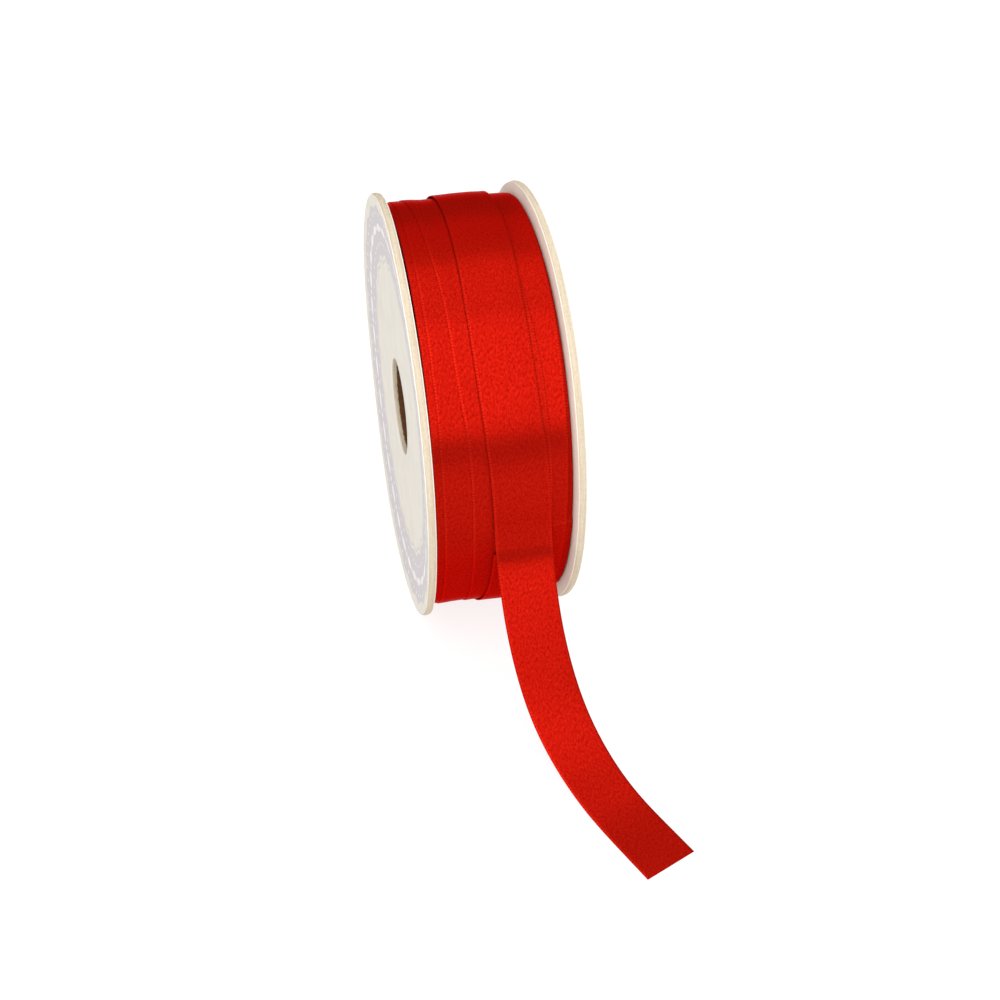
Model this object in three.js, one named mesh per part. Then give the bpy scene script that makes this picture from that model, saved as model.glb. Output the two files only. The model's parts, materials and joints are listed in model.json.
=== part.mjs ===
// Ribbon spool: a small card reel wound with satin ribbon, its free end drawn off over the front.
//
// Millimetres, +Z up. The reel stands on the rims of its two flanges with its axis along X. The ribbon
// comes over the top, leaves the front of the winding (-Y) and lies down on the table ahead of the reel.
// Everything is placed about the reel's axis first; the last lines move the whole to stand on z = 0 with
// the middle of its outline over the origin.

import * as THREE from 'three';

// Driving dimensions ------------------------------------------------------------------------------

const FLANGE_D = 80; // outer diameter of each flange
const BORE_D = 18; // hole through each flange
const HUB_GAP = 22.2; // clear width between the flanges, next to the core
const HUB_FLAT_D = 40; // each flange is flat out to here, and dished beyond
const RIM_FLARE = 1.2; // how much further out the rim lies than the hub
const BOARD_T = 1.0; // greyboard of a flange
const PAPER_T = 0.2; // lining paper on both sides of the board
const GLUE_T = 0.05; // glue line under a lining paper, a fillet or the tape
const PAPER_TRIM = 0.4; // the lining stops this far short of the board's rim and bore

const CORE_WALL = 1.2; // wall of the spiral-wound core
const CORE_FIT = 0.15; // radial room between the core and the flange bores
const CORE_RECESS = 0.8; // the core's ends stop this far inside the outer faces
const FILLET_LEG = 1.3; // leg of the glue fillet where the core meets a flange

const TAPE_W = 9; // start tape, which holds the ribbon's inner end on the core
const TAPE_ARC = 70; // degrees of the core that it covers
const TAPE_T = 0.15;

const RIBBON_W = 10; // width of the ribbon
const RIBBON_T = 0.3; // thickness of one layer
const WINDING_DEPTH = 1.8; // how far inside the rims the winding's surface lies, under its last turn
const WINDING_SIDE_GAP = 0.35; // room between the winding and each flange
const WINDING_BORE_GAP = 0.15; // room between the tape and the winding
const SHOULDER = 0.7; // how far the winding is rounded down at its outer edges
const TURN_GAP = 0.15; // looseness of the last turn on the winding

const LEAVE_ANGLE = 4; // degrees below the front of the reel where the ribbon leaves it
const TURN_ARC = 352; // degrees of the winding that the last turn covers
const LANE_X = 2.0; // middle of the last turn's lane, from the middle of the reel
const LANE_SWING = 0.95; // how far that lane wanders to each side as it goes round
const HINGE_GAP = 0.5; // open length of ribbon at each place where it bends freely

// The free end leaves with one bend, falls straight at a lean, and lies down with another bend.
const TAIL_LEAN = 33; // degrees forward from upright
const TAIL_TOP_R = 7; // radius of the bend where it leaves the winding
const TAIL_FOOT_R = 24; // radius of the bend onto the table
const TAIL_REACH = 45.5; // how far ahead of the leaving point it ends

// Seen from above, the free end goes straight ahead, turns aside along an arc, and goes straight again.
const TAIL_STRAIGHT = 4; // distance ahead before it turns
const TAIL_TURN_R = 30; // radius of the turn
const TAIL_HEADING = 23; // degrees it has turned in the end

// Fineness ----------------------------------------------------------------------------------------

const FACETS = 48; // sides of every round piece; one of them is level at the bottom
const DISH_STEPS = 4; // rings between the hub's flat and the rim
const TURN_STEPS = 88;
const BEND_STEPS = 6; // points of each bend of the free end
const FALL_STEPS = 6; // points of its straight fall
const TAIL_STEPS = 26;
const TIP_STEPS = 14;
const LENGTH_SAMPLES = 20; // samples between two points of the free end, where its length is measured

// Sizes that follow from the ones above -------------------------------------------------------------

const FLANGE_T = BOARD_T + 2 * (PAPER_T + GLUE_T);
const FLANGE_R = FLANGE_D / 2;
const HUB_FACE_X = HUB_GAP / 2 + FLANGE_T;
const CORE_R = BORE_D / 2 - CORE_FIT;
const CORE_HALF = HUB_FACE_X - CORE_RECESS;
const TAPE_R = CORE_R + GLUE_T;
const WINDING_BORE_R = TAPE_R + TAPE_T + WINDING_BORE_GAP;
const WINDING_R = FLANGE_R - WINDING_DEPTH;
const TURN_R = WINDING_R + TURN_GAP + RIBBON_T / 2;
const TABLE_Z = -FLANGE_R * Math.cos(Math.PI / FACETS);

// Materials -----------------------------------------------------------------------------------------

function finish(color, roughness) {
  return new THREE.MeshStandardMaterial({ color, roughness, metalness: 0 });
}

const greyboard = () => finish(0xded3c0, 0.9);
const liningPaper = () => finish(0xece4da, 0.8);
const kraft = () => finish(0x7a5330, 0.92);
const driedGlue = () => finish(0xe9e2cf, 0.5);
const paperTape = () => finish(0xd8c79a, 0.7);
const satin = () => finish(0xd0120e, 0.38);

// Shape builders ------------------------------------------------------------------------------------

// A solid of revolution about X from a closed outline of [radius, x] points.
function turned(outline) {
  const points = [...outline, outline[0]].map(([r, x]) => new THREE.Vector2(r, x));
  const geometry = new THREE.LatheGeometry(points, FACETS, Math.PI / FACETS);
  return geometry.rotateZ(-Math.PI / 2);
}

// How far a flange has left the plane of its hub at radius r.
function dish(r) {
  const start = HUB_FLAT_D / 2;
  const share = Math.max(0, r - start) / (FLANGE_R - start);
  return RIM_FLARE * share * share;
}

// One dished layer of a flange: from x = near to x = far at the hub, between two radii.
function dishedLayer(near, far, innerR, outerR, side) {
  const radii = [innerR];
  for (let i = 0; i <= DISH_STEPS; i += 1) {
    radii.push(HUB_FLAT_D / 2 + ((outerR - HUB_FLAT_D / 2) * i) / DISH_STEPS);
  }
  const outside = radii.map((r) => [r, side * (far + dish(r))]);
  const inside = radii.map((r) => [r, side * (near + dish(r))]).reverse();
  const outline = [...outside, ...inside];
  return turned(side < 0 ? outline : outline.reverse());
}

// A ribbon's solid along a list of { centre, across } stations; every section is a flat rectangle.
function ribbonStrip(stations) {
  const corners = [[-1, -1], [1, -1], [1, 1], [-1, 1]];
  const positions = [];
  stations.forEach(({ centre, across }, i) => {
    const before = stations[Math.max(i - 1, 0)].centre;
    const after = stations[Math.min(i + 1, stations.length - 1)].centre;
    const along = after.clone().sub(before).normalize();
    const up = across.clone().cross(along).normalize();
    for (const [u, v] of corners) {
      const corner = centre.clone().addScaledVector(across, (u * RIBBON_W) / 2);
      positions.push(...corner.addScaledVector(up, (v * RIBBON_T) / 2).toArray());
    }
  });
  const last = (stations.length - 1) * 4;
  const index = [0, 1, 2, 0, 2, 3, last, last + 2, last + 1, last, last + 3, last + 2];
  for (let i = 0; i < stations.length - 1; i += 1) {
    for (let k = 0; k < 4; k += 1) {
      const a = i * 4 + k;
      const b = i * 4 + ((k + 1) % 4);
      index.push(a, b + 4, b, a, a + 4, b + 4);
    }
  }
  const geometry = new THREE.BufferGeometry();
  geometry.setAttribute('position', new THREE.Float32BufferAttribute(positions, 3));
  geometry.setIndex(index);
  geometry.computeVertexNormals();
  return geometry;
}

// The point of the last turn's centre line at an angle in degrees below the front of the reel.
function turnPoint(angle) {
  const a = THREE.MathUtils.degToRad(angle);
  const lead = THREE.MathUtils.degToRad(angle - LEAVE_ANGLE);
  const x = LANE_X + LANE_SWING * Math.cos(lead);
  return new THREE.Vector3(x, -TURN_R * Math.cos(a), -TURN_R * Math.sin(a));
}

// The side view of the free end, as distances ahead and down from the leaving point. The last point but one
// is where it comes to lie on the table.
function tailProfile(drop) {
  const leaving = THREE.MathUtils.degToRad(-LEAVE_ANGLE);
  const lean = THREE.MathUtils.degToRad(TAIL_LEAN);
  const profile = [[0, 0]];
  const bend = (radius, from, to) => {
    const [ahead, down] = profile.at(-1);
    for (let i = 1; i <= BEND_STEPS; i += 1) {
      const angle = from + ((to - from) * i) / BEND_STEPS;
      const forward = radius * (Math.cos(from) - Math.cos(angle));
      profile.push([ahead + forward, down + radius * (Math.sin(angle) - Math.sin(from))]);
    }
  };
  bend(TAIL_TOP_R, leaving, lean);
  const [ahead, down] = profile.at(-1);
  const fall = drop - down - TAIL_FOOT_R * (1 - Math.sin(lean));
  for (let i = 1; i <= FALL_STEPS; i += 1) {
    const fallen = (fall * i) / FALL_STEPS;
    profile.push([ahead + fallen * Math.tan(lean), down + fallen]);
  }
  bend(TAIL_FOOT_R, lean, Math.PI / 2);
  profile.push([TAIL_REACH, drop]);
  return profile;
}

// How far the free end has strayed sideways at a distance ahead of the leaving point.
function tailDrift(ahead) {
  const heading = THREE.MathUtils.degToRad(TAIL_HEADING);
  const turning = THREE.MathUtils.clamp(ahead - TAIL_STRAIGHT, 0, TAIL_TURN_R * Math.sin(heading));
  const beyond = Math.max(0, ahead - TAIL_STRAIGHT - TAIL_TURN_R * Math.sin(heading));
  return TAIL_TURN_R - Math.sqrt(TAIL_TURN_R ** 2 - turning ** 2) + beyond * Math.tan(heading);
}

// The free end's centre line in space.
function tailCurve() {
  const leave = turnPoint(LEAVE_ANGLE);
  const drop = leave.z - (TABLE_Z + RIBBON_T / 2);
  const points = tailProfile(drop).map(([ahead, down]) => (
    new THREE.Vector3(leave.x + tailDrift(ahead), leave.y - ahead, leave.z - down)
  ));
  const curve = new THREE.CatmullRomCurve3(points);
  curve.arcLengthDivisions = LENGTH_SAMPLES * (points.length - 1);
  return curve;
}

// Stations of the free end between two lengths along its centre line. The ribbon stays level across, and
// turns to face the way it runs as it comes to lie flat.
function tailStations(curve, from, to, steps) {
  const total = curve.getLength();
  const lowest = TABLE_Z + RIBBON_T / 2;
  const stations = [];
  for (let i = 0; i <= steps; i += 1) {
    const u = (from + ((to - from) * i) / steps) / total;
    const centre = curve.getPointAt(u);
    centre.z = Math.max(centre.z, lowest);
    stations.push({ centre, across: acrossTail(curve.getTangentAt(u)) });
  }
  return stations;
}

function acrossTail(tangent) {
  const heading = (1 - Math.abs(tangent.z)) * Math.atan2(tangent.x, -tangent.y);
  return new THREE.Vector3(Math.cos(heading), Math.sin(heading), 0);
}

// Pieces --------------------------------------------------------------------------------------------

function flangePieces(name, side) {
  const inner = BORE_D / 2;
  const liner = HUB_GAP / 2;
  const board = liner + PAPER_T + GLUE_T;
  const facing = board + BOARD_T + GLUE_T;
  const paperInner = inner + PAPER_TRIM;
  const paperOuter = FLANGE_R - PAPER_TRIM;
  return [
    [`${name}_flange_liner`, liner, liner + PAPER_T, paperInner, paperOuter, liningPaper()],
    [`${name}_flange_board`, board, board + BOARD_T, inner, FLANGE_R, greyboard()],
    [`${name}_flange_facing`, facing, facing + PAPER_T, paperInner, paperOuter, liningPaper()],
  ].map(([node, near, far, innerR, outerR, material]) => (
    named(node, dishedLayer(near, far, innerR, outerR, side), material)
  ));
}

function coreTube() {
  const bore = CORE_R - CORE_WALL;
  const outline = [[bore, CORE_HALF], [bore, -CORE_HALF], [CORE_R, -CORE_HALF], [CORE_R, CORE_HALF]];
  return named('core_tube', turned(outline), kraft());
}

function glueFillet(name, side) {
  const root = side * (HUB_GAP / 2 - GLUE_T);
  const tip = side * (HUB_GAP / 2 - GLUE_T - FILLET_LEG);
  const inner = CORE_R + GLUE_T;
  const outline = [[inner, tip], [inner, root], [inner + FILLET_LEG, root]];
  return named(`${name}_glue_fillet`, turned(side < 0 ? outline : outline.reverse()), driedGlue());
}

function startTape() {
  const half = THREE.MathUtils.degToRad(TAPE_ARC) / 2;
  const shape = new THREE.Shape();
  shape.absarc(0, 0, TAPE_R + TAPE_T, -half, half, false);
  shape.absarc(0, 0, TAPE_R, half, -half, true);
  const geometry = new THREE.ExtrudeGeometry(shape, { depth: TAPE_W, bevelEnabled: false, curveSegments: 8 });
  geometry.translate(0, 0, -TAPE_W / 2);
  return named('start_tape', geometry.rotateY(Math.PI / 2), paperTape());
}

// The winding fills the dished space between the flanges, and is rounded down where it meets them.
function woundRibbon() {
  const foot = WINDING_BORE_R + FILLET_LEG + WINDING_BORE_GAP;
  const shoulderR = WINDING_R - SHOULDER;
  const radii = [foot];
  for (let i = 0; i <= DISH_STEPS; i += 1) {
    radii.push(HUB_FLAT_D / 2 + ((shoulderR - HUB_FLAT_D / 2) * i) / DISH_STEPS);
  }
  const half = (r) => HUB_GAP / 2 - WINDING_SIDE_GAP + dish(r);
  const top = half(shoulderR);
  const side = [
    [WINDING_BORE_R, half(foot) - (foot - WINDING_BORE_R)],
    ...radii.map((r) => [r, half(r)]),
    [WINDING_R - SHOULDER / 4, top - SHOULDER / 2],
    [WINDING_R, top - 2 * SHOULDER],
  ];
  const otherSide = side.map(([r, x]) => [r, -x]);
  return named('wound_ribbon', turned([...otherSide, ...side.reverse()]), satin());
}

function lastTurn() {
  const endTrim = THREE.MathUtils.radToDeg(HINGE_GAP / 2 / TURN_R);
  const across = new THREE.Vector3(1, 0, 0);
  const stations = [];
  for (let i = 0; i <= TURN_STEPS; i += 1) {
    const back = endTrim + ((TURN_ARC - endTrim) * (TURN_STEPS - i)) / TURN_STEPS;
    stations.push({ centre: turnPoint(LEAVE_ANGLE - back), across });
  }
  return named('last_turn', ribbonStrip(stations), satin());
}

function freeEnd() {
  const curve = tailCurve();
  const total = curve.getLength();
  const fold = curve.getLengths()[(curve.points.length - 2) * LENGTH_SAMPLES];
  const gap = HINGE_GAP / 2;
  const falling = tailStations(curve, gap, fold - gap, TAIL_STEPS);
  const lying = tailStations(curve, fold + gap, total, TIP_STEPS);
  return [
    named('ribbon_tail', ribbonStrip(falling), satin()),
    named('ribbon_tip', ribbonStrip(lying), satin()),
  ];
}

// Assembly ------------------------------------------------------------------------------------------

function named(name, geometry, material) {
  const mesh = new THREE.Mesh(geometry, material);
  mesh.name = name;
  return mesh;
}

const reel = new THREE.Group();
reel.add(...flangePieces('left', -1));
reel.add(...flangePieces('right', 1));
reel.add(coreTube());
reel.add(glueFillet('left', -1));
reel.add(glueFillet('right', 1));
reel.add(startTape());
reel.add(woundRibbon());
reel.add(lastTurn());
reel.add(...freeEnd());

const outlineBox = new THREE.Box3().setFromObject(reel);
const middle = outlineBox.getCenter(new THREE.Vector3());
reel.position.set(-middle.x, -middle.y, -outlineBox.min.z);

const group = new THREE.Group();
group.add(reel);

export default group;
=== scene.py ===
"""Ribbon spool: a small card reel wound with red satin ribbon, its free end drawn off and laid on the table."""
import json
import math

import bmesh
import bpy
import numpy as np
from bpy.props import FloatProperty, FloatVectorProperty, PointerProperty
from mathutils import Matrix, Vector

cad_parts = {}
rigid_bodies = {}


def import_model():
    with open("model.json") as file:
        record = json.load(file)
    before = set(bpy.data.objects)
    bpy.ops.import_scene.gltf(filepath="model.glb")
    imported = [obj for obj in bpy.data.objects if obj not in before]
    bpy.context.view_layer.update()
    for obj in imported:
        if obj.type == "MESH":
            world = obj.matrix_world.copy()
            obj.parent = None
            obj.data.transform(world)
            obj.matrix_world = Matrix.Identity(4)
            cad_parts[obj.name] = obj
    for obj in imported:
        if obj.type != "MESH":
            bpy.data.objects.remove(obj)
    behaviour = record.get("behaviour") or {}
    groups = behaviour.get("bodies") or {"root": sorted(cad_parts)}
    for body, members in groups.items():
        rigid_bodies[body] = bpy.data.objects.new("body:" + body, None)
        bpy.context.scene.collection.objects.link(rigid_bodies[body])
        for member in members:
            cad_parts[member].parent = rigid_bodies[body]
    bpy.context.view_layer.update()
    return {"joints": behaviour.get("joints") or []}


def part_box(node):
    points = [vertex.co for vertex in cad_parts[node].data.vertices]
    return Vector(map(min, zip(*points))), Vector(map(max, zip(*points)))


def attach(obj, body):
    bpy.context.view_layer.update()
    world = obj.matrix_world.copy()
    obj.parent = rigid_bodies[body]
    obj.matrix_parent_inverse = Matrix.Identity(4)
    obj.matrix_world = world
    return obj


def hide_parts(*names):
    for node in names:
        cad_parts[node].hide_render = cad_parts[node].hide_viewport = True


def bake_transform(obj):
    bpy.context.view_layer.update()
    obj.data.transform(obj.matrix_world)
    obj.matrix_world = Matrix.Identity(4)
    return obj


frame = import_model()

bl_info = {
    "name": "Ribbon Spool",
    "version": (1, 0, 0),
    "blender": (4, 5, 0),
    "location": "3D View > Sidebar > Ribbon Spool",
    "description": "Finishes a card ribbon spool: board flanges, kraft core and wound satin ribbon",
    "category": "Add Mesh",
}

MM = 0.001


# Places and sizes read from the frame --------------------------------------------------------------

def middle(node):
    low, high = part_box(node)
    return np.array((low + high) / 2)


def joint_place(name):
    return np.array(next(j for j in frame["joints"] if j["name"] == name)["pos_m"], float)


AXIS = middle("core_tube")  # on the reel's axis, halfway between the flanges
RIM_R = AXIS[2]  # a flange stands on the table with its rim
TURN_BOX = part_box("last_turn")
TURN_OUTER_R = (TURN_BOX[1].y - TURN_BOX[0].y) / 2
CORE_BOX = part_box("core_tube")
CORE_HALF = (CORE_BOX[1].x - CORE_BOX[0].x) / 2
TIP_HINGE = joint_place("tip_lift")

# Sizes of the card reel, in millimetres.
HUB_GAP = 22.2
HUB_FLAT_R = 20.0
RIM_FLARE = 1.2
BOARD_T = 1.0
PAPER_T = 0.2
GLUE_T = 0.05
BORE_R = 9.0
CORE_R = 8.85
CORE_WALL = 1.2

# The last turn and the free end, in millimetres and degrees below the front of the reel.
LEAVE_ANGLE = 4.0
TURN_ARC = 352.0
TAIL_LEAN = 33.0  # degrees forward from upright, where it falls straight
TAIL_TOP_R = 7.0  # radius of the bend where it leaves the winding
TAIL_FOOT_R = 24.0  # radius of the bend onto the table
TAIL_REACH = 45.5  # how far ahead of the leaving point it ends

# Seen from above, the free end goes straight ahead, turns aside along an arc, and goes straight again.
TAIL_STRAIGHT = 4.0  # distance ahead before it turns
TAIL_TURN_R = 30.0  # radius of the turn
TAIL_HEADING = 23.0  # degrees it has turned in the end

# The lane of the outermost turn: degrees back from the leaving point, and the lane's middle in mm.
TURN_LANE = [(0, 2.95), (-22, 2.3), (-38, 1.7), (-54, 1.55), (-84, 1.9), (-130, 2.1), (-180, 1.6), (-260, 1.5),
             (-320, 2.4), (-352, 2.9)]

# The lanes of the turns beneath it, which drift from flange to flange.
UNDER_LANE = [(-180, 1.7), (-270, 0.4), (-330, -0.6), (-360, -0.8), (-384, -0.9), (-402, -1.7), (-420, -1.9),
              (-444, -2.7), (-540, -3.9), (-630, -5.0), (-720, -5.6), (-804, -5.4), (-900, -6.2), (-1080, -6.9),
              (-1164, -6.9), (-1260, -5.6), (-1440, -1.6), (-1620, 1.4), (-1800, 3.1), (-1840, 3.0), (-1882, 1.4),
              (-1980, 3.9), (-2160, 5.9), (-2340, 6.7), (-2520, 6.8), (-2760, 6.7), (-2880, 6.5)]
UNDER_BUILD = 38.36  # radius that the turns beneath the last one reach
FIRST_TURNS_END = -2880


# Property groups -----------------------------------------------------------------------------------

def linear(hex_colour, alpha=None):
    """An sRGB hex colour as linear values."""
    channels = [int(hex_colour[i:i + 2], 16) / 255 for i in (1, 3, 5)]
    flat = [c / 12.92 if c <= 0.04045 else ((c + 0.055) / 1.055) ** 2.4 for c in channels]
    return tuple(flat) if alpha is None else (*flat, alpha)


def colour(name, description, hex_colour):
    return FloatVectorProperty(name=name, description=description, subtype="COLOR", size=3, min=0, max=1,
                               default=linear(hex_colour))


def length(name, description, millimetres, low=0.0, high=100.0):
    return FloatProperty(name=name, description=description, subtype="DISTANCE", unit="LENGTH", precision=5,
                         default=millimetres * MM, min=low * MM, max=high * MM)


class SpoolSizes(bpy.types.PropertyGroup):
    """Sizes that a maker would change."""
    ribbon_width: length("Ribbon width", "Width of the satin ribbon", 10.0, 10, 14)
    ribbon_thickness: length("Ribbon thickness", "Thickness of the ribbon of the last turn and the free end", 0.22,
                             0.1, 0.5)
    layer_thickness: length("Layer", "Thickness of one wound layer, pressed by the turns above it", 0.16, 0.1, 0.4)
    shoulder: length("Shoulder", "How far the winding falls away at its edges", 0.55, 0, 2)
    rim_wear: length("Rim wear", "Unevenness of the cut rim of a flange", 0.05, 0, 0.3)
    thread: length("Speckle", "Size of the glint that one bundle of satin floats gives", 0.36, 0.1, 1)


class SpoolColours(bpy.types.PropertyGroup):
    """Colours that a maker would change."""
    satin: colour("Satin", "Dyed polyester satin", "#880301")
    # The glint colour is a painted highlight: a lighter base colour put on random floats and on the selvedge dots.
    glint: colour("Satin glint", "Warp floats that catch the light", "#c61e10")
    board: colour("Board", "Cut edge of the pasted board", "#d3c7b2")
    lining: colour("Lining paper", "Uncoated paper on the inner faces", "#e6dccf")
    label: colour("Label paper", "Unprinted paper of the outer faces", "#e6e0d5")
    print_band: colour("Printed ring", "Pale ink of the ring on the label", "#c9c1c6")
    kraft: colour("Kraft", "Brown kraft paper of the core", "#6b4526")


# Meshes --------------------------------------------------------------------------------------------

def new_mesh(name, points, faces, material, smooth_angle=40, uv=None):
    """A mesh object from points in metres, shaded smooth except at edges sharper than the angle."""
    mesh = bpy.data.meshes.new(name)
    mesh.from_pydata(np.asarray(points, float).reshape(-1, 3).tolist(), [], faces)
    if uv is not None:
        layer = mesh.uv_layers.new(name="ribbon")
        corner = np.empty(len(mesh.loops), np.int32)
        mesh.loops.foreach_get("vertex_index", corner)
        layer.data.foreach_set("uv", np.asarray(uv, np.float32)[corner].ravel())
    tidy = bmesh.new()
    tidy.from_mesh(mesh)
    bmesh.ops.recalc_face_normals(tidy, faces=tidy.faces)
    tidy.to_mesh(mesh)
    tidy.free()
    mesh.shade_smooth()
    mesh.set_sharp_from_angle(angle=math.radians(smooth_angle))
    mesh.materials.append(material)
    piece = bpy.data.objects.new(name, mesh)
    bpy.context.scene.collection.objects.link(piece)
    return piece


def ring_faces(rows, ring, closed_rows):
    """Quads over a grid of rows, each a closed ring of points; the rows close on each other too, or are capped."""
    row = np.arange(rows if closed_rows else rows - 1)[:, None]
    col = np.arange(ring)[None, :]
    after, beside = (row + 1) % rows, (col + 1) % ring
    quads = np.stack([row * ring + col, row * ring + beside, after * ring + beside, after * ring + col], -1)
    faces = quads.reshape(-1, 4).tolist()
    if not closed_rows:
        faces.append(list(range(ring))[::-1])
        faces.append(list(range((rows - 1) * ring, rows * ring)))
    return faces


def on_reel(x, angle, radius):
    """Points in metres from millimetres along the axis, radians below the front, and millimetres from the axis."""
    x, angle, radius = np.broadcast_arrays(x, angle, radius)
    place = np.stack([x, -radius * np.cos(angle), -radius * np.sin(angle)], -1)
    return AXIS + place * MM


def turned(name, outline, material, steps=288, shape=None, smooth_angle=40):
    """A solid of revolution from a closed outline of (radius, x) in mm; shape(radius, x, angle) may alter it."""
    outline = np.array(outline, float)
    angle = np.linspace(0, 2 * math.pi, steps, endpoint=False)[:, None]
    radius = np.broadcast_to(outline[:, 0], (steps, len(outline)))
    x = np.broadcast_to(outline[:, 1], radius.shape)
    if shape:
        radius, x = shape(radius, x, angle)
    return new_mesh(name, on_reel(x, angle, radius), ring_faces(steps, len(outline), True), material, smooth_angle)


def waves(angle, count, seed, low=1):
    """A smooth random line round the reel, between about -1 and 1, made of a few whole waves."""
    source = np.random.default_rng(seed)
    total = np.zeros_like(angle, dtype=float)
    for k in range(low, low + count):
        total = total + source.normal() * np.sin(k * angle + source.uniform(0, 2 * math.pi))
    return total / math.sqrt(count)


def softened(line, spread, wrap=False):
    """A running gaussian average along the first direction; spread is in steps."""
    reach = max(1, int(3 * spread))
    weight = np.exp(-0.5 * (np.arange(-reach, reach + 1) / max(spread, 1e-6)) ** 2)
    weight /= weight.sum()
    pad = [(reach, reach)] + [(0, 0)] * (line.ndim - 1)
    wide = np.pad(line, pad, mode="wrap" if wrap else "edge")
    return sum(w * wide[k:k + len(line)] for k, w in enumerate(weight))


def ribbon_section(width, edge, columns):
    """Places across the ribbon, in mm from its middle, of the flat part of one side."""
    return np.linspace(-width / 2 + edge, width / 2 - edge, columns)


def ribbon_mesh(name, top, normal, across, thickness, run, u, width, material):
    """The closed solid of a ribbon. top holds its upper surface in metres (stations, columns), normal and across are
    unit directions there, run is the length in mm at each station and u the place across in mm of each column."""
    stations = len(top)
    bottom = top - normal * thickness * MM
    half = (top + bottom) / 2
    lead = (width / 2 - u[-1]) * MM
    right = half[:, -1:] + across[:, -1:] * lead
    left = half[:, :1] - across[:, :1] * lead
    ring = np.concatenate([top, right, bottom[:, ::-1], left], axis=1)
    across_uv = np.concatenate([u, [width / 2], u[::-1], [-width / 2]])
    uv = np.stack(np.broadcast_arrays(across_uv[None, :], run[:, None]), -1).reshape(-1, 2)
    return new_mesh(name, ring, ring_faces(stations, ring.shape[1], False), material, 75, uv)


def lane(points, angle):
    """The smooth line through (place, mm) points at the places asked for. The points run from high to low."""
    table = np.array(points, float)[::-1]
    at, value = table[:, 0], table[:, 1]
    slope = np.gradient(value, at)
    k = np.clip(np.searchsorted(at, angle) - 1, 0, len(at) - 2)
    span = at[k + 1] - at[k]
    t = (angle - at[k]) / span
    return ((2 * t ** 3 - 3 * t ** 2 + 1) * value[k] + (t ** 3 - 2 * t ** 2 + t) * span * slope[k]
            + (3 * t ** 2 - 2 * t ** 3) * value[k + 1] + (t ** 3 - t ** 2) * span * slope[k + 1])


# Materials -----------------------------------------------------------------------------------------

def add_node(tree, kind, links=None, **settings):
    """Adds a node with its settings; links gives each input a value or another node's output."""
    node = tree.nodes.new(kind)
    for name, value in settings.items():
        setattr(node, name, value)
    for key, value in (links or {}).items():
        if isinstance(value, bpy.types.NodeSocket):
            tree.links.new(value, node.inputs[key])
        else:
            node.inputs[key].default_value = value
    return node


def start_material(name):
    """An empty material and its node tree."""
    material = bpy.data.materials.new(name)
    material.use_nodes = True
    material.node_tree.nodes.clear()
    return material, material.node_tree


def finish_material(tree, links):
    shader = add_node(tree, "ShaderNodeBsdfPrincipled", links)
    add_node(tree, "ShaderNodeOutputMaterial", {"Surface": shader.outputs[0]})


def calc(tree, operation, *values, clamp=False):
    """A number worked out from numbers or outputs."""
    return add_node(tree, "ShaderNodeMath", dict(enumerate(values)), operation=operation, use_clamp=clamp).outputs[0]


def blend_colour(tree, factor, first, second, mode="MIX"):
    mix = add_node(tree, "ShaderNodeMix", {0: factor, 6: first, 7: second}, data_type="RGBA", blend_type=mode)
    return mix.outputs[2]


def band(tree, value, low, high, soft):
    """1 where value lies between low and high, falling to 0 over soft."""
    rise = add_node(tree, "ShaderNodeMapRange", {0: value, 1: low - soft / 2, 2: low + soft / 2},
                    interpolation_type="SMOOTHSTEP").outputs[0]
    fall = add_node(tree, "ShaderNodeMapRange", {0: value, 1: high - soft / 2, 2: high + soft / 2},
                    interpolation_type="SMOOTHSTEP").outputs[0]
    return calc(tree, "SUBTRACT", rise, fall, clamp=True)


def noise(tree, vector, size_mm, detail=2.0, rough=0.5, out=0):
    """Noise on a vector in millimetres, with patches of about the given size."""
    return add_node(tree, "ShaderNodeTexNoise",
                    {"Vector": vector, "Scale": 1 / size_mm, "Detail": detail, "Roughness": rough}).outputs[out]


def reel_millimetres(tree):
    """Places in mm from the middle of the reel's axis, which stay on the piece when it turns."""
    place = add_node(tree, "ShaderNodeTexCoord").outputs["Object"]
    from_axis = add_node(tree, "ShaderNodeVectorMath", {0: place, 1: tuple(AXIS)}, operation="SUBTRACT").outputs[0]
    return add_node(tree, "ShaderNodeVectorMath", {0: from_axis, "Scale": 1 / MM}, operation="SCALE").outputs[0]


def polar(tree, place):
    """Distance from the axis in mm, and the angle round it in radians."""
    parts = add_node(tree, "ShaderNodeSeparateXYZ", {0: place})
    y, z = parts.outputs[1], parts.outputs[2]
    squares = calc(tree, "ADD", calc(tree, "MULTIPLY", y, y), calc(tree, "MULTIPLY", z, z))
    return parts.outputs[0], calc(tree, "SQRT", squares), calc(tree, "ARCTAN2", z, y)


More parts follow.
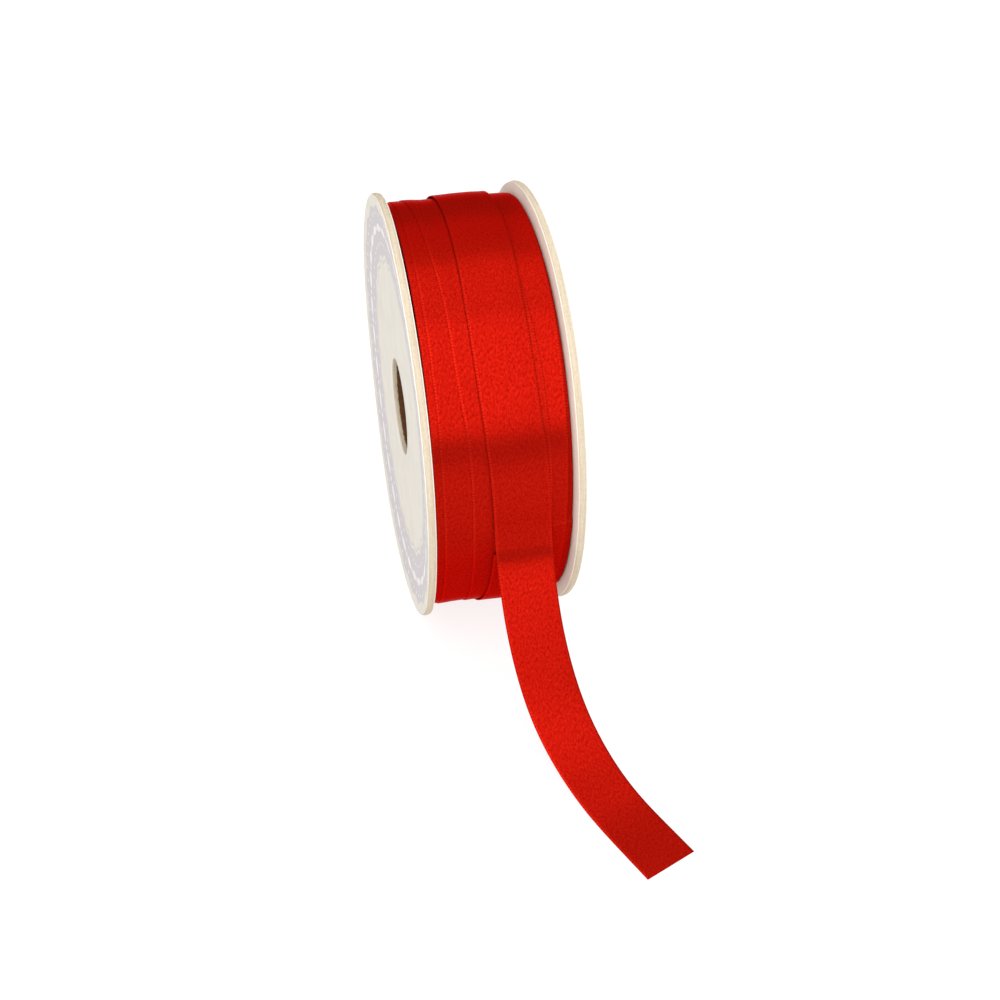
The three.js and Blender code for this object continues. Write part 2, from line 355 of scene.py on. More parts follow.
def satin_ribbon(colours, sizes):
    """Polyester satin ribbon, woven with long warp floats on its face and a looped selvedge on both edges. The eye
    gets broad glossy bands across the ribbon, broken into fine glints, and a row of dots along each edge. The real
    floats are about 0.15 mm wide, too fine to show, so the glints are drawn at the size of a bundle of floats."""
    material, tree = start_material("satin_ribbon")
    flat = add_node(tree, "ShaderNodeUVMap", uv_map="ribbon").outputs[0]
    parts = add_node(tree, "ShaderNodeSeparateXYZ", {0: flat})
    across, along = parts.outputs[0], parts.outputs[1]
    glint_mm = sizes.thread / MM
    slanted = add_node(tree, "ShaderNodeMapping", {"Vector": flat, "Rotation": (0, 0, 0.5), "Scale": (1, 0.62, 1)})
    glints = noise(tree, slanted.outputs[0], glint_mm, 1.5, 0.6)
    fine = noise(tree, flat, glint_mm / 2.2, 1.0)
    broad = noise(tree, flat, 9.0, 1.0)
    weave = calc(tree, "ADD", glints, calc(tree, "MULTIPLY", fine, 0.5))
    selvedge = add_node(tree, "ShaderNodeMapRange", {0: calc(tree, "ABSOLUTE", across), 1: 4.5, 2: 4.72},
                        interpolation_type="SMOOTHSTEP").outputs[0]
    loops = calc(tree, "MULTIPLY_ADD", calc(tree, "SINE", calc(tree, "MULTIPLY", along, 2 * math.pi / 0.55)), 0.5, 0.5)
    edge = calc(tree, "MULTIPLY", selvedge, loops)
    height = calc(tree, "ADD", weave, calc(tree, "MULTIPLY", edge, 1.2))
    bump = add_node(tree, "ShaderNodeBump", {"Height": height, "Strength": 0.2, "Distance": 0.03 * MM})
    # Random floats and the selvedge dots get the lighter glint colour in the base colour, a painted highlight, besides
    # their bump and more metallic.
    lit = add_node(tree, "ShaderNodeMapRange", {0: weave, 1: 0.38, 2: 1.12}).outputs[0]
    floats = calc(tree, "MULTIPLY_ADD", edge, 0.7, lit, clamp=True)
    dye_and_painted_glint = blend_colour(tree, floats, (*colours.satin, 1), (*colours.glint, 1))
    deeper = blend_colour(tree, calc(tree, "MULTIPLY", broad, 0.2), dye_and_painted_glint, linear("#7a0200", 1))
    rough = calc(tree, "MULTIPLY_ADD", fine, 0.08, 0.32)
    mirror = calc(tree, "MULTIPLY_ADD", floats, 0.54, 0.23)
    tangent = add_node(tree, "ShaderNodeTangent", direction_type="UV_MAP", uv_map="ribbon").outputs[0]
    finish_material(tree, {
        "Base Color": deeper, "Roughness": rough, "Normal": bump.outputs[0], "Tangent": tangent, "Metallic": mirror,
        "Anisotropic": 0.85, "IOR": 1.57, "Specular IOR Level": 0.0, "Specular Tint": linear("#ff1c0e", 1),
    })
    return material


def wound_edges(colours):
    """The sides of the winding: hundreds of selvedges pressed together. The eye gets fine dull rings."""
    material, tree = start_material("wound_ribbon_edges")
    place = reel_millimetres(tree)
    _, radius, _ = polar(tree, place)
    ripple = noise(tree, place, 3.0)
    layers = calc(tree, "MULTIPLY", radius, 2 * math.pi / 0.5)
    rings = calc(tree, "SINE", calc(tree, "MULTIPLY_ADD", ripple, 4.0, layers))
    lift = calc(tree, "MULTIPLY_ADD", rings, 0.5, 0.5)
    # The grooves between the ridges get the darker red: painted shade.
    shade = blend_colour(tree, lift, linear("#7d0402", 1), (*colours.satin, 1))
    bump = add_node(tree, "ShaderNodeBump", {"Height": lift, "Strength": 0.6, "Distance": 0.06 * MM})
    finish_material(tree, {"Base Color": shade, "Roughness": 0.6, "Normal": bump.outputs[0], "Specular IOR Level": 0.2})
    return material


def pasted_board(colours):
    """Greyboard pasted from pulp layers and punched to a disc. The eye gets a cream edge with faint plies along it
    and small dents and fibres from the punch."""
    material, tree = start_material("pasted_board")
    place = reel_millimetres(tree)
    x, radius, angle = polar(tree, place)
    around = calc(tree, "MULTIPLY", angle, 8.0)
    stretched = add_node(tree, "ShaderNodeCombineXYZ", {0: calc(tree, "MULTIPLY", x, 6.0), 1: around, 2: radius})
    plies = noise(tree, stretched.outputs[0], 1.6, 3.0)
    fibres = noise(tree, place, 0.45, 3.0, 0.65)
    tone = calc(tree, "ADD", calc(tree, "MULTIPLY", plies, 0.55), calc(tree, "MULTIPLY", fibres, 0.45))
    tone = add_node(tree, "ShaderNodeMapRange", {0: tone, 1: 0.35, 2: 0.68}).outputs[0]
    shade = blend_colour(tree, tone, linear("#bfae94", 1), (*colours.board, 1))
    bump = add_node(tree, "ShaderNodeBump", {"Height": tone, "Strength": 0.55, "Distance": 0.08 * MM})
    finish_material(tree, {"Base Color": shade, "Roughness": 0.86, "Normal": bump.outputs[0], "IOR": 1.5,
                           "Specular IOR Level": 0.35})
    return material


def paper_fibres(tree, place):
    """The cloudy and the fibrous unevenness of uncoated paper; fibres are drawn 0.3 mm wide to show."""
    cloud = noise(tree, place, 6.0, 3.0, 0.6)
    fibre = noise(tree, place, 0.3, 2.0, 0.6)
    return cloud, fibre


def lining_paper(colours):
    """Uncoated wood-free paper pasted on board. The eye gets a matt off-white with a faint cloudy unevenness."""
    material, tree = start_material("lining_paper")
    place = reel_millimetres(tree)
    cloud, fibre = paper_fibres(tree, place)
    tone = calc(tree, "MULTIPLY_ADD", cloud, 0.6, calc(tree, "MULTIPLY", fibre, 0.4))
    tone = add_node(tree, "ShaderNodeMapRange", {0: tone, 1: 0.3, 2: 0.7}).outputs[0]
    shade = blend_colour(tree, tone, linear("#d9cbbd", 1), (*colours.lining, 1))
    bump = add_node(tree, "ShaderNodeBump", {"Height": fibre, "Strength": 0.35, "Distance": 0.03 * MM})
    finish_material(tree, {"Base Color": shade, "Roughness": 0.78, "Normal": bump.outputs[0], "IOR": 1.5})
    return material


def printed_label(colours):
    """Uncoated label paper, offset printed with a pale ring and a plain row of leaves and dots. The eye gets matt
    off-white paper, and ink so pale that the paper's clouds show through it."""
    material, tree = start_material("printed_label")
    place = reel_millimetres(tree)
    _, radius, angle = polar(tree, place)
    cloud, fibre = paper_fibres(tree, place)
    paper = add_node(tree, "ShaderNodeMapRange",
                     {0: calc(tree, "MULTIPLY_ADD", cloud, 0.7, calc(tree, "MULTIPLY", fibre, 0.3)), 1: 0.3, 2: 0.7})
    base = blend_colour(tree, paper.outputs[0], linear("#dcd5c8", 1), (*colours.label, 1))
    wobble = calc(tree, "MULTIPLY_ADD", calc(tree, "SINE", calc(tree, "MULTIPLY", angle, 24.0)), 0.35, radius)
    ring = band(tree, wobble, 28.4, 37.6, 0.3)
    thin = band(tree, wobble, 27.2, 27.7, 0.2)
    ink = calc(tree, "MAXIMUM", ring, calc(tree, "MULTIPLY", thin, 0.8))
    printed = blend_colour(tree, calc(tree, "MULTIPLY", ink, 0.85), base, (*colours.print_band, 1))
    marks = None
    for count, at, long_mm, wide_mm, shift in ((30, 33.6, 2.3, 0.75, 0.0), (30, 33.6, 0.55, 0.55, 0.5),
                                               (60, 36.3, 0.4, 0.3, 0.25), (60, 30.7, 0.4, 0.3, 0.25)):
        turn = calc(tree, "MULTIPLY_ADD", angle, count / (2 * math.pi), shift)
        cell = calc(tree, "SUBTRACT", calc(tree, "FRACT", turn), 0.5)
        along = calc(tree, "MULTIPLY", cell, 2 * math.pi * at / count / long_mm)
        out = calc(tree, "DIVIDE", calc(tree, "SUBTRACT", radius, at), wide_mm)
        far = calc(tree, "ADD", calc(tree, "MULTIPLY", along, along), calc(tree, "MULTIPLY", out, out))
        mark = calc(tree, "MULTIPLY_ADD", far, -2.2, 2.8, clamp=True)
        marks = mark if marks is None else calc(tree, "MAXIMUM", marks, mark)
    shade = blend_colour(tree, calc(tree, "MULTIPLY", marks, 0.9), printed, linear("#f1ede8", 1))
    bump = add_node(tree, "ShaderNodeBump", {"Height": fibre, "Strength": 0.3, "Distance": 0.03 * MM})
    finish_material(tree, {"Base Color": shade, "Roughness": 0.62, "Normal": bump.outputs[0], "IOR": 1.5})
    return material


def kraft_tube(colours):
    """Brown kraft paper wound on a mandrel in a spiral and glued. The eye gets dark brown paper with light fibres
    and a darker slanted joint every 20 mm."""
    material, tree = start_material("kraft_tube")
    place = reel_millimetres(tree)
    x, _, angle = polar(tree, place)
    fibre = noise(tree, place, 0.5, 4.0, 0.7)
    cloud = noise(tree, place, 4.0, 2.0)
    tone = calc(tree, "MULTIPLY_ADD", fibre, 0.7, calc(tree, "MULTIPLY", cloud, 0.3))
    tone = add_node(tree, "ShaderNodeMapRange", {0: tone, 1: 0.32, 2: 0.7}).outputs[0]
    shade = blend_colour(tree, tone, linear("#4a2c15", 1), (*colours.kraft, 1))
    pitch = calc(tree, "FRACT", calc(tree, "MULTIPLY_ADD", x, 1 / 20, calc(tree, "MULTIPLY", angle, 0.5 / math.pi)))
    seam = band(tree, pitch, 0.48, 0.5, 0.01)
    shade = blend_colour(tree, calc(tree, "MULTIPLY", seam, 0.7), shade, linear("#2a1608", 1))
    height = calc(tree, "SUBTRACT", fibre, seam)
    bump = add_node(tree, "ShaderNodeBump", {"Height": height, "Strength": 0.6, "Distance": 0.06 * MM})
    finish_material(tree, {"Base Color": shade, "Roughness": 0.88, "Normal": bump.outputs[0],
                           "Specular IOR Level": 0.3})
    return material


def dried_glue():
    """White wood glue, dried to a slightly clear, uneven bead. The eye gets a smooth cream gloss."""
    material, tree = start_material("dried_glue")
    place = reel_millimetres(tree)
    lumps = noise(tree, place, 1.2, 2.0)
    shade = blend_colour(tree, lumps, linear("#d8cdb4", 1), linear("#ece5d2", 1))
    bump = add_node(tree, "ShaderNodeBump", {"Height": lumps, "Strength": 0.7, "Distance": 0.2 * MM})
    finish_material(tree, {"Base Color": shade, "Roughness": 0.35, "Normal": bump.outputs[0], "IOR": 1.47})
    return material


def crepe_tape():
    """Creped paper tape. The eye gets a tan matt strip with fine ridges across it."""
    material, tree = start_material("crepe_tape")
    place = reel_millimetres(tree)
    _, _, angle = polar(tree, place)
    ridges = calc(tree, "SINE", calc(tree, "MULTIPLY_ADD", noise(tree, place, 1.0), 3.0,
                                     calc(tree, "MULTIPLY", angle, 9 / 0.35 * 2 * math.pi / 3)))
    # The troughs between the ridges get the darker tan: painted shade.
    shade = blend_colour(tree, calc(tree, "MULTIPLY_ADD", ridges, 0.5, 0.5), linear("#b99e66", 1),
                         linear("#d8c291", 1))
    bump = add_node(tree, "ShaderNodeBump", {"Height": ridges, "Strength": 0.5, "Distance": 0.05 * MM})
    finish_material(tree, {"Base Color": shade, "Roughness": 0.7, "Normal": bump.outputs[0]})
    return material


def studio_sweep():
    """Matt white background paper, lit until it shows almost no shadow."""
    material, tree = start_material("studio_sweep")
    finish_material(tree, {"Base Color": (0.3, 0.3, 0.3, 1), "Roughness": 1.0, "Specular IOR Level": 0.0,
                           "Emission Color": (1, 1, 1, 1), "Emission Strength": 0.8})
    return material


# The card reel -------------------------------------------------------------------------------------

def dish(radius):
    """How far a flange has left the plane of its hub, in mm."""
    share = np.maximum(0, np.asarray(radius, float) - HUB_FLAT_R) / (RIM_R / MM - HUB_FLAT_R)
    return RIM_FLARE * share * share


def disc_outline(near, far, inner, outer, side, rounding):
    """The outline of one dished layer of a flange, with softly rounded edges, as (radius, x) in mm."""
    radii = np.concatenate([[inner + rounding], np.linspace(HUB_FLAT_R * 0.75, outer - rounding, 14)])
    out = [(r, side * (far + dish(r))) for r in radii]
    back = [(r, side * (near + dish(r))) for r in radii[::-1]]
    half = (far - near) / 2
    rim = []
    for turn in np.linspace(60, -60, 5):
        lean = math.radians(turn)
        rim.append((outer - rounding * (1 - math.cos(lean)),
                    side * (near + half + half * math.sin(lean) / math.sin(math.radians(75)) + dish(outer))))
    bore = []
    for turn in np.linspace(-60, 60, 3):
        lean = math.radians(turn)
        bore.append((inner + rounding * (1 - math.cos(lean)), side * (near + half + half * math.sin(lean))))
    return out + rim + back + bore


def build_flange(side_name, side, finishes, sizes):
    """One flange: lining paper, board and printed label, each a dished disc."""
    liner = HUB_GAP / 2
    board = liner + PAPER_T + GLUE_T
    label = board + BOARD_T + GLUE_T
    rim = RIM_R / MM
    wear = sizes.rim_wear / MM
    seed = 11 if side < 0 else 12
    layers = (("liner", "lining_disc", liner, liner + PAPER_T, BORE_R + 0.25, rim - 0.16, "lining_paper", 0.05),
              ("board", "board_disc", board - GLUE_T, board + BOARD_T + GLUE_T, BORE_R, rim, "greyboard", 0.22),
              ("facing", "printed_label", label, label + PAPER_T, BORE_R + 0.2, rim - 0.2, "printed_paper", 0.05))
    for part, piece_name, near, far, inner, outer, slot, rounding in layers:
        def worn(radius, x, angle, outer=outer, inner=inner):
            """Dents the rim inwards only, and warps the disc a little, as damp card does."""
            at_rim = np.clip((radius - (outer - 0.6)) / 0.6, 0, 1)
            at_bore = np.clip((inner + 0.5 - radius) / 0.5, 0, 1)
            dents = np.abs(waves(angle, 40, seed, 30)) * wear
            warp = waves(angle, 3, seed + 5, 2) * 0.06 * np.clip(radius / rim, 0, 1) ** 2
            return radius - at_rim * dents * (radius < rim) + at_bore * dents, x + warp * side
        node = f"{side_name}_flange_{part}"
        outline = disc_outline(near, far, inner, outer, side, rounding)
        piece = turned(f"{side_name}_{piece_name}", outline, finishes[slot], 480, worn)
        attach(piece, "spool")
        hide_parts(node)


def build_core(finishes):
    """The kraft core, whose wall shows its spiral seam as a shallow step, with slightly furred ends."""
    half = CORE_HALF / MM
    rows = np.linspace(-half, half, 60)
    inner = [(CORE_R - CORE_WALL, x) for x in rows]
    outer = [(CORE_R, x) for x in rows[::-1]]

    def spiral(radius, x, angle):
        step = (x / 20 + angle / (2 * math.pi)) % 1
        inside = radius < CORE_R - CORE_WALL / 2
        fur = 0.05 * waves(angle, 30, 3, 20) * (np.abs(x) > half - 0.2)
        return radius + inside * 0.12 * (1 - step) * np.clip(step / 0.02, 0, 1), x + fur
    piece = turned("kraft_core", inner + outer, finishes["kraft_board"], 240, spiral)
    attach(piece, "spool")
    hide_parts("core_tube")


def finish_frame_node(node, material):
    """Gives a frame piece that keeps its own shape a material."""
    piece = next(o for o in bpy.data.objects if o.type == "MESH" and o.name == node)
    piece.data.materials.clear()
    piece.data.materials.append(material)


# The ribbon ----------------------------------------------------------------------------------------

CELLS = 480  # stations in one turn
COLUMNS = 21
GRID_STEP = 0.1
GRID_X = np.arange(-12.8, 12.8 + GRID_STEP / 2, GRID_STEP)
STATION_STEP = 0.4  # mm between two stations of the free end
EDGE = 0.1  # how far the flat of the ribbon stops short of its edge, in mm


def lay_turns(base, angles, lanes, width, layer):
    """Lays a ribbon on the winding's surface, turn by turn. base holds the radius in mm at each cell round the reel
    and each place along GRID_X, and is raised where the ribbon lies. Gives the ribbon's underside radii."""
    u = ribbon_section(width, EDGE, COLUMNS)
    under = np.zeros((len(angles), COLUMNS))
    cells = np.round((angles % 360) / 360 * CELLS).astype(int) % CELLS
    for first in range(0, len(angles), CELLS):
        turn = slice(first, min(first + CELLS, len(angles)))
        rest = np.array([np.interp(lanes[i] + u, GRID_X, base[cells[i]]) for i in range(turn.start, turn.stop)])
        spanned = rest.copy()
        for shift in (1, 2):
            spanned[:, shift:] = np.maximum(spanned[:, shift:], rest[:, :-shift])
            spanned[:, :-shift] = np.maximum(spanned[:, :-shift], rest[:, shift:])
        eased = softened(softened(spanned, 4.0).T, 0.9).T
        under[turn] = np.maximum(eased, rest)
        for i in range(turn.start, turn.stop):
            here = np.abs(GRID_X - lanes[i]) <= width / 2
            raised = np.interp(GRID_X[here] - lanes[i], u, under[i]) + layer
            base[cells[i], here] = np.maximum(base[cells[i], here], raised)
    return under


def unevenness(size, seed):
    """A gently uneven surface on the cells of the reel, in mm, which changes from side to side."""
    angle = np.linspace(0, 2 * math.pi, CELLS, endpoint=False)
    at = np.linspace(GRID_X[0], GRID_X[-1], 6)
    lines = np.stack([waves(angle, 10, seed + k, 4) for k in range(len(at))], 1)
    return size * np.stack([np.interp(GRID_X, at, row) for row in lines])


def winding_fall(x, shoulder):
    """How far the winding's surface lies below its crown, in mm: rounded down at both edges, more at the right."""
    left = np.clip((-x - 10.4) / 1.8, 0, 1)
    right = np.clip((x - 8.7) / 3.2, 0, 1)
    return shoulder * (left ** 2 + 1.9 * right ** 1.4)


def build_winding(finishes, sizes):
    """The body of the winding, and over it one length of ribbon in the drifting turns that show."""
    width, layer = sizes.ribbon_width / MM, sizes.layer_thickness / MM
    count = int(round((UNDER_LANE[0][0] - FIRST_TURNS_END) / 360 * CELLS))
    back = np.linspace(FIRST_TURNS_END, UNDER_LANE[0][0], count + 1)
    lanes = lane(UNDER_LANE, back)
    drift = 0.18 * waves(np.radians(back / 3), 6, 21, 3)
    lanes = np.clip(lanes + drift, width / 2 - 11.95, 11.95 - width / 2)
    angles = back + LEAVE_ANGLE
    trial = np.zeros((CELLS, len(GRID_X)))
    lay_turns(trial, angles, lanes, width, layer)
    build_up = softened(softened(trial, 10, wrap=True).T, 5).T
    base = UNDER_BUILD - build_up - winding_fall(GRID_X, sizes.shoulder / MM)[None, :] + unevenness(0.04, 31)
    body_top = base.copy()
    under = lay_turns(base, angles, lanes, width, layer)
    over = base[:, np.abs(GRID_X) < 11].max() - UNDER_BUILD
    under -= over
    base -= over
    body_top -= over
    u = ribbon_section(width, EDGE, COLUMNS)
    turn = np.radians(angles)[:, None]
    top = on_reel(lanes[:, None] + u[None, :], turn, under + layer)
    outward = np.broadcast_to(on_reel(0, turn, 1.0) - AXIS, top.shape) / MM
    across = np.broadcast_to(np.array([1.0, 0, 0]), top.shape)
    run = np.concatenate([[0], np.cumsum(np.radians(np.diff(angles)) * UNDER_BUILD)])
    strip = ribbon_mesh("ribbon_under_turns", top, outward, across, layer * 0.92, run, u, width,
                        finishes["satin"])
    body = build_winding_body(body_top, finishes["wound_edges"])
    for piece in (body, strip):
        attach(piece, "spool")
        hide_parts("wound_ribbon")
    return base


def build_winding_body(body_top, material):
    """The wound layers under the turns that show: one closed ring whose sides carry the ridges of their edges."""
    foot, shoulder_r = 11.0, 36.0
    side_r = np.linspace(foot, shoulder_r, 60)
    side_x = HUB_GAP / 2 - 0.4 + dish(side_r) + 0.06 * np.sin(side_r * 2 * math.pi / 1.1)
    crown_x = np.linspace(-11.7, 11.7, 90)
    outline = ([(9.35, 10.0)] + [(r, x) for r, x in zip(side_r, side_x)] + [(0.0, x) for x in crown_x[::-1]]
               + [(r, -x) for r, x in zip(side_r[::-1], side_x[::-1])] + [(9.35, -10.0)])
    outline = np.array(outline)
    crown = outline[:, 0] == 0.0

    def heights(radius, x, angle):
        radius = radius.copy()
        degrees = np.degrees(angle[:, 0]) % 360
        rows = np.round(degrees / 360 * CELLS).astype(int) % CELLS
        for i, row in enumerate(rows):
            radius[i, crown] = np.interp(outline[crown, 1], GRID_X, body_top[row]) - 0.05
        return radius, x
    return turned("ribbon_winding_body", outline, material, CELLS, heights)


def tail_profile(drop):
    """The side view of the free end, as distances ahead and down from the leaving point, in mm: a bend, a straight
    fall at a lean, a bend onto the table, and the stretch that lies there."""
    leaving, lean, flat = math.radians(-LEAVE_ANGLE), math.radians(TAIL_LEAN), math.pi / 2
    top, foot = np.linspace(leaving, lean, 12), np.linspace(lean, flat, 40)
    top_ahead = TAIL_TOP_R * (math.cos(leaving) - np.cos(top))
    top_down = TAIL_TOP_R * (np.sin(top) - math.sin(leaving))
    fall = drop - top_down[-1] - TAIL_FOOT_R * (1 - math.sin(lean))
    fallen = np.linspace(0, fall, 30)[1:]
    fall_ahead = top_ahead[-1] + fallen * math.tan(lean)
    foot_ahead = fall_ahead[-1] + TAIL_FOOT_R * (math.cos(lean) - np.cos(foot[1:]))
    foot_down = drop - TAIL_FOOT_R * (1 - np.sin(foot[1:]))
    lying = np.linspace(foot_ahead[-1], TAIL_REACH, 12)[1:]
    ahead = np.concatenate([top_ahead, fall_ahead, foot_ahead, lying])
    down = np.concatenate([top_down, top_down[-1] + fallen, foot_down, np.full(len(lying), drop)])
    return ahead, down


def tail_drift(ahead):
    """How far the free end has strayed sideways at a distance ahead of the leaving point, in mm."""
    heading = math.radians(TAIL_HEADING)
    turn_length = TAIL_TURN_R * math.sin(heading)
    turning = np.clip(ahead - TAIL_STRAIGHT, 0, turn_length)
    beyond = np.maximum(0, ahead - TAIL_STRAIGHT - turn_length)
    return TAIL_TURN_R - np.sqrt(TAIL_TURN_R ** 2 - turning ** 2) + beyond * math.tan(heading)


def outer_line(thickness):
    """The centre line of the last turn and the free end in metres, its directions across, and the index where it
    leaves the winding. Stations lie about 0.4 mm apart."""
    radius = TURN_OUTER_R / MM - thickness / 2
    back = np.arange(-TURN_ARC, 0, 360 / CELLS / 1.25)
    x = lane(TURN_LANE, back)
    turn_angle = np.radians(back + LEAVE_ANGLE)
    turn = on_reel(x, turn_angle, radius + 0.03 + 0.02 * waves(turn_angle, 12, 41, 4))
    leave = on_reel(TURN_LANE[0][1], math.radians(LEAVE_ANGLE), radius)
    table = thickness / 2 * MM
    ahead, down = tail_profile((leave[2] - table) / MM)
    route = leave + np.stack([tail_drift(ahead), -ahead, -down], 1) * MM
    spacing = np.linalg.norm(np.diff(route, axis=0), axis=1)
    at = np.concatenate([[0], np.cumsum(spacing)])
    fine = np.arange(0, at[-1] + 0.05 * MM, STATION_STEP * MM)
    fine = np.append(fine[fine < at[-1] - 0.1 * MM], at[-1])
    free = np.stack([np.interp(fine, at, route[:, k]) for k in range(3)], 1)
    line = np.concatenate([turn, free])
    eased = line.copy()
    for _ in range(3):
        eased = softened(eased, 4.5)
    run = np.arange(len(line)) - len(turn)
    share = np.clip((run + 14) / 14, 0, 1)[:, None]
    share = share * share * (3 - 2 * share)
    line = line * (1 - share) + eased * share
    line[-1] = free[-1]
    tangent = np.gradient(line, axis=0)
    tangent /= np.linalg.norm(tangent, axis=1)[:, None]
    heading = (1 - np.abs(tangent[:, 2])) * np.arctan2(tangent[:, 0], -tangent[:, 1])
    heading = heading * np.clip(run / 10, 0, 1)
    across = np.stack([np.cos(heading), np.sin(heading), np.zeros_like(heading)], 1)
    across = across - tangent * np.sum(across * tangent, 1)[:, None]
    across /= np.linalg.norm(across, axis=1)[:, None]
    line[:, 2] = np.maximum(line[:, 2], table)
    return line, tangent, across, len(turn)


def settle_turn(surface, line, leave, width, thickness):
    """How far each column of the last turn moves outwards, in mm, to lie on the highest places beneath it, so that
    it can slide round the winding. The last degrees before it leaves stay as they are."""
    back = np.arange(-TURN_ARC, 0, 360 / CELLS / 1.25)
    crest = np.tile(surface.max(axis=0), (CELLS, 1))
    under = lay_turns(crest, back + LEAVE_ANGLE, lane(TURN_LANE, back), width, thickness)
    ease = np.clip((-4 - back) / 26, 0, 1)[:, None]
    offset = np.zeros((len(line), COLUMNS))
    offset[:leave] = (under + thickness - TURN_OUTER_R / MM) * ease * ease * (3 - 2 * ease)
    return offset


def build_outer_ribbon(finishes, sizes, piece_name, node, start, stop, line, tangent, across, settle):
    """One stretch of the last turn and the free end, from one station to another."""
    width, thickness = sizes.ribbon_width / MM, sizes.ribbon_thickness / MM
    part = slice(start, stop + 1)
    centre, along, side = line[part], tangent[part], across[part]
    outward = np.cross(along, side)
    outward /= np.linalg.norm(outward, axis=1)[:, None]
    u = ribbon_section(width, EDGE, COLUMNS)
    top = centre[:, None] + side[:, None] * u[None, :, None] * MM
    top = top + outward[:, None] * (thickness / 2 + settle[part])[:, :, None] * MM
    steps = np.linalg.norm(np.diff(line, axis=0), axis=1)
    run = np.concatenate([[0], np.cumsum(steps)])[part] / MM
    normal = np.broadcast_to(outward[:, None], top.shape)
    sideways = np.broadcast_to(side[:, None], top.shape)
    piece = ribbon_mesh(piece_name, top, normal, sideways, thickness, run, u, width, finishes["satin"])
    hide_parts(node)
    return piece, float(run[-1] - run[0]) * MM


# Stage ---------------------------------------------------------------------------------------------

CAMERA_PLACE = (-38.87, -217.81, 145.23)  # from the middle of the reel's axis, in mm
CAMERA_PITCH = 37.49  # degrees below level
CAMERA_YAW = 11.87  # degrees towards +X
CAMERA_LENS = 49.53


def add_softbox(name, azimuth, elevation, distance, width, height, power):
    """A soft area light that faces the reel. Azimuth 0 is in front (-Y), and positive towards +X."""
    a, e = math.radians(azimuth), math.radians(elevation)
    back = np.array([math.sin(a) * math.cos(e), -math.cos(a) * math.cos(e), math.sin(e)])
    data = bpy.data.lights.new(name, "AREA")
    data.shape = "RECTANGLE"
    data.size, data.size_y = width, height
    data.energy = power
    light = bpy.data.objects.new(name, data)
    light.location = AXIS + back * distance
    rotation = Vector(-back).to_track_quat("-Z", "Y")
    light.rotation_mode = "QUATERNION"
    light.rotation_quaternion = rotation
    bpy.context.scene.collection.objects.link(light)


def light_world():
    """A studio that is white near the horizon and darker overhead."""
    world = bpy.data.worlds.new("studio")
    bpy.context.scene.world = world
    world.use_nodes = True
    tree = world.node_tree
    tree.nodes.clear()
    direction = add_node(tree, "ShaderNodeTexCoord").outputs["Generated"]
    up = add_node(tree, "ShaderNodeSeparateXYZ", {0: direction}).outputs[2]
    fade = add_node(tree, "ShaderNodeMapRange", {0: up, 1: 0.15, 2: 0.55, 3: 0.22, 4: 0.1},
                    interpolation_type="SMOOTHSTEP").outputs[0]
    sky = add_node(tree, "ShaderNodeBackground", {"Color": (1, 1, 1, 1), "Strength": fade})
    add_node(tree, "ShaderNodeOutputWorld", {"Surface": sky.outputs[0]})


class SPOOL_OT_stage(bpy.types.Operator):
    """Adds the camera, the pale floor and the soft studio light."""
    bl_idname = "spool.stage"
    bl_label = "Stage"

    def execute(self, context):
        scene = context.scene
        data = bpy.data.cameras.new("camera")
        data.sensor_width = 36.0
        data.lens = CAMERA_LENS
        data.clip_start = 0.01
        camera = bpy.data.objects.new("camera", data)
        camera.location = AXIS + np.array(CAMERA_PLACE) * MM
        camera.rotation_euler = (math.radians(90 - CAMERA_PITCH), 0, math.radians(-CAMERA_YAW))
        scene.collection.objects.link(camera)
        scene.camera = camera
        scene.view_settings.view_transform = "Standard"
        light_world()
        add_softbox("key", 0, 46, 0.75, 1.0, 0.98, 8.6)
        add_softbox("top", 0, 97, 0.8, 0.9, 0.46, 2.7)
        add_softbox("back", 0, 132, 0.8, 0.9, 0.5, 0.9)
        add_softbox("left_fill", -80, 30, 0.8, 0.6, 0.6, 1.5)
        half = 3.0
        floor = bpy.data.meshes.new("floor")
        floor.from_pydata([(-half, -half, 0), (half, -half, 0), (half, half, 0), (-half, half, 0)], [], [(0, 1, 2, 3)])
        floor.materials.append(studio_sweep())
        stage = bpy.data.objects.new("floor", floor)
        scene.collection.objects.link(stage)
        return {"FINISHED"}


class SPOOL_OT_flanges(bpy.types.Operator):
    """Makes both board flanges with their papers."""
    bl_idname = "spool.flanges"
    bl_label = "Flanges"

    def execute(self, context):
        colours = context.scene.spool_colours
        finishes = {"greyboard": pasted_board(colours), "lining_paper": lining_paper(colours),
                    "printed_paper": printed_label(colours)}
        build_flange("left", -1, finishes, context.scene.spool_sizes)
        build_flange("right", 1, finishes, context.scene.spool_sizes)
        return {"FINISHED"}


class SPOOL_OT_core(bpy.types.Operator):
    """Makes the kraft core, and finishes its glue fillets and the start tape."""
    bl_idname = "spool.core"
    bl_label = "Core"

    def execute(self, context):
        build_core({"kraft_board": kraft_tube(context.scene.spool_colours)})
        glue = dried_glue()
        finish_frame_node("left_glue_fillet", glue)
        finish_frame_node("right_glue_fillet", glue)
        finish_frame_node("start_tape", crepe_tape())
        return {"FINISHED"}


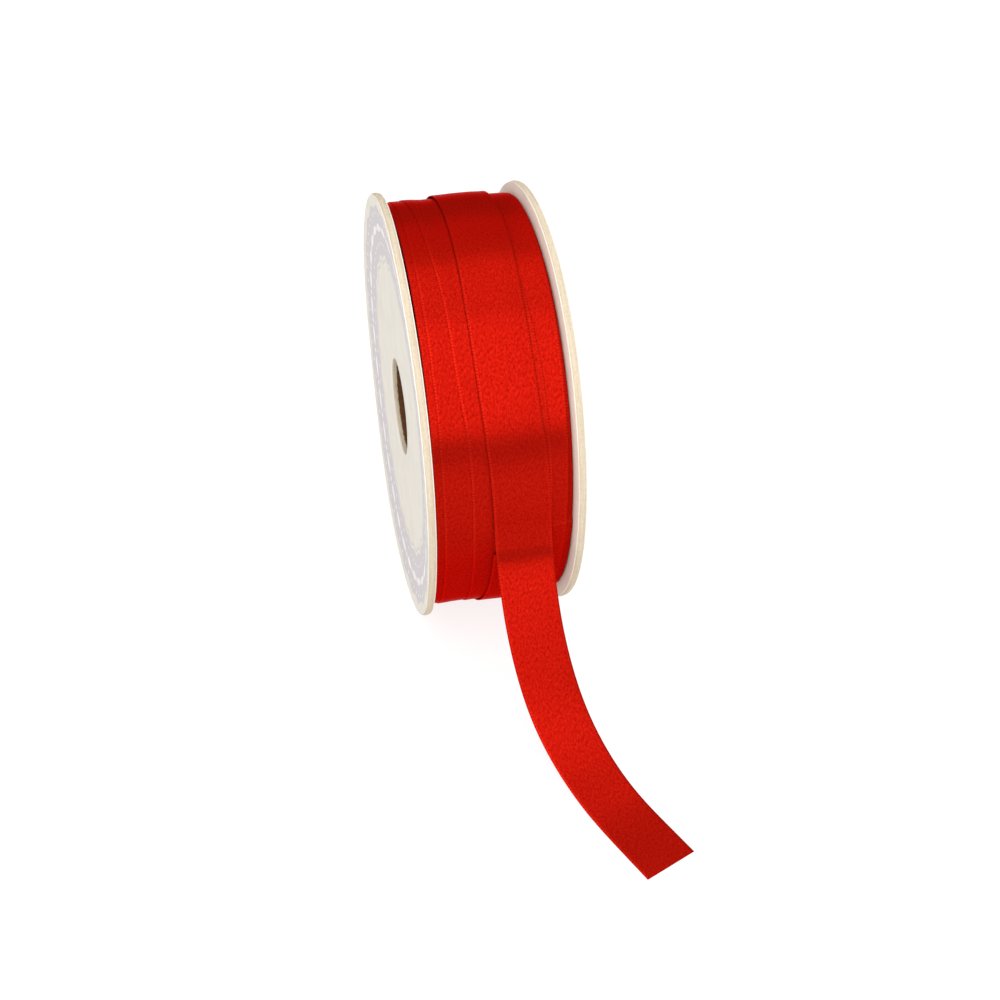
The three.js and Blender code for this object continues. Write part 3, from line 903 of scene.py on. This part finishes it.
class SPOOL_OT_ribbon(bpy.types.Operator):
    """Makes the winding, its last turn and the free end."""
    bl_idname = "spool.ribbon"
    bl_label = "Ribbon"

    def execute(self, context):
        sizes, colours = context.scene.spool_sizes, context.scene.spool_colours
        finishes = {"satin": satin_ribbon(colours, sizes), "wound_edges": wound_edges(colours)}
        surface = build_winding(finishes, sizes)
        line, tangent, across, leave = outer_line(sizes.ribbon_thickness / MM)
        settle = settle_turn(surface, line, leave, sizes.ribbon_width / MM, sizes.ribbon_thickness / MM)
        ahead = line[:, 1] - TIP_HINGE[1]
        seam = leave + int(np.argmax(ahead[leave:] < 7 * MM))
        turn, turn_length = build_outer_ribbon(finishes, sizes, "ribbon_last_turn", "last_turn", 0, leave,
                                               line, tangent, across, settle)
        tail, tail_length = build_outer_ribbon(finishes, sizes, "ribbon_hanging_tail", "ribbon_tail", leave, seam,
                                               line, tangent, across, settle)
        tip, tip_length = build_outer_ribbon(finishes, sizes, "ribbon_laid_tip", "ribbon_tip", seam,
                                             len(line) - 1, line, tangent, across, settle)
        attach(turn, "outer_turn")
        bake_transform(tail)
        onward = line[-1] - TIP_HINGE
        onward = onward / np.linalg.norm(onward) * 8 * MM
        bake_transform(tip)
        return {"FINISHED"}


class SPOOL_PT_panel(bpy.types.Panel):
    """Lists the sizes, the colours and the steps."""
    bl_idname = "SPOOL_PT_panel"
    bl_label = "Ribbon Spool"
    bl_space_type = "VIEW_3D"
    bl_region_type = "UI"
    bl_category = "Ribbon Spool"

    def draw(self, context):
        for group in (context.scene.spool_sizes, context.scene.spool_colours):
            box = self.layout.box()
            for name in group.__annotations__:
                box.prop(group, name)
        for operator in OPERATORS:
            self.layout.operator(operator.bl_idname)


OPERATORS = (SPOOL_OT_stage, SPOOL_OT_flanges, SPOOL_OT_core, SPOOL_OT_ribbon)
CLASSES = (SpoolSizes, SpoolColours, *OPERATORS, SPOOL_PT_panel)


def register():
    for item in CLASSES:
        bpy.utils.register_class(item)
    bpy.types.Scene.spool_sizes = PointerProperty(type=SpoolSizes)
    bpy.types.Scene.spool_colours = PointerProperty(type=SpoolColours)


def unregister():
    del bpy.types.Scene.spool_colours
    del bpy.types.Scene.spool_sizes
    for item in reversed(CLASSES):
        bpy.utils.unregister_class(item)


def main():
    register()
    bpy.ops.spool.stage()
    bpy.ops.spool.flanges()
    bpy.ops.spool.core()
    bpy.ops.spool.ribbon()


if __name__ == "__main__":
    main()
